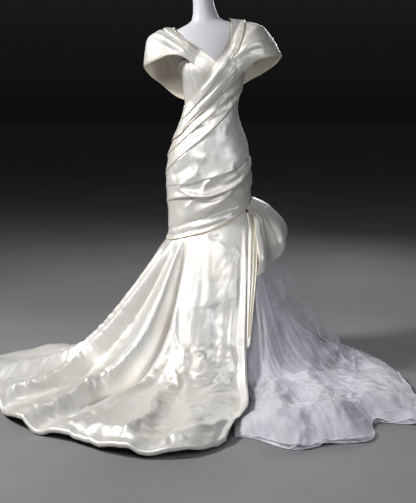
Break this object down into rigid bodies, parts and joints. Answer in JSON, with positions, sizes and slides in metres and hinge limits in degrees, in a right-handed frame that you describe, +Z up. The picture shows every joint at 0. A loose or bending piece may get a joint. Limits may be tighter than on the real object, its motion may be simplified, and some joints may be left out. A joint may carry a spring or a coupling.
{
  "type": "mermaid evening dress on a limbless dress form",
  "caption": "Fitted satin evening gown with portrait collar, draped wrap, hip fan and train over a tulle underskirt, on a limbless dress form with its stand.",
  "frame": {"origin": "centre of the stand base's underside, on the floor", "axes": "+Z up, -Y to the gown's front, +X to the wearer's left"},
  "size_m": [1.953, 1.71, 1.729],
  "materials": {
    "ivory_satin": "satin",
    "white_tulle": "sheer net",
    "form_shell": "smooth white",
    "stand_metal": "brushed"
  },
  "bodies": {
    "root": {"form_body": "form_shell", "form_neck_cap": "form_shell", "stand_pole": "stand_metal", "stand_base": "stand_metal", "bodice_centre_front": "ivory_satin", "bodice_side_front_right": "ivory_satin", "bodice_side_front_left": "ivory_satin", "bodice_back": "ivory_satin", "collar_right": "ivory_satin", "collar_left": "ivory_satin", "drape_front": "ivory_satin", "drape_back": "ivory_satin", "skirt_front": "ivory_satin", "skirt_side_right": "ivory_satin", "skirt_train": "ivory_satin", "hip_fan": "ivory_satin", "hip_cascade": "ivory_satin", "tulle_skirt": "white_tulle", "tulle_train": "white_tulle"}
  },
  "joints": []
}
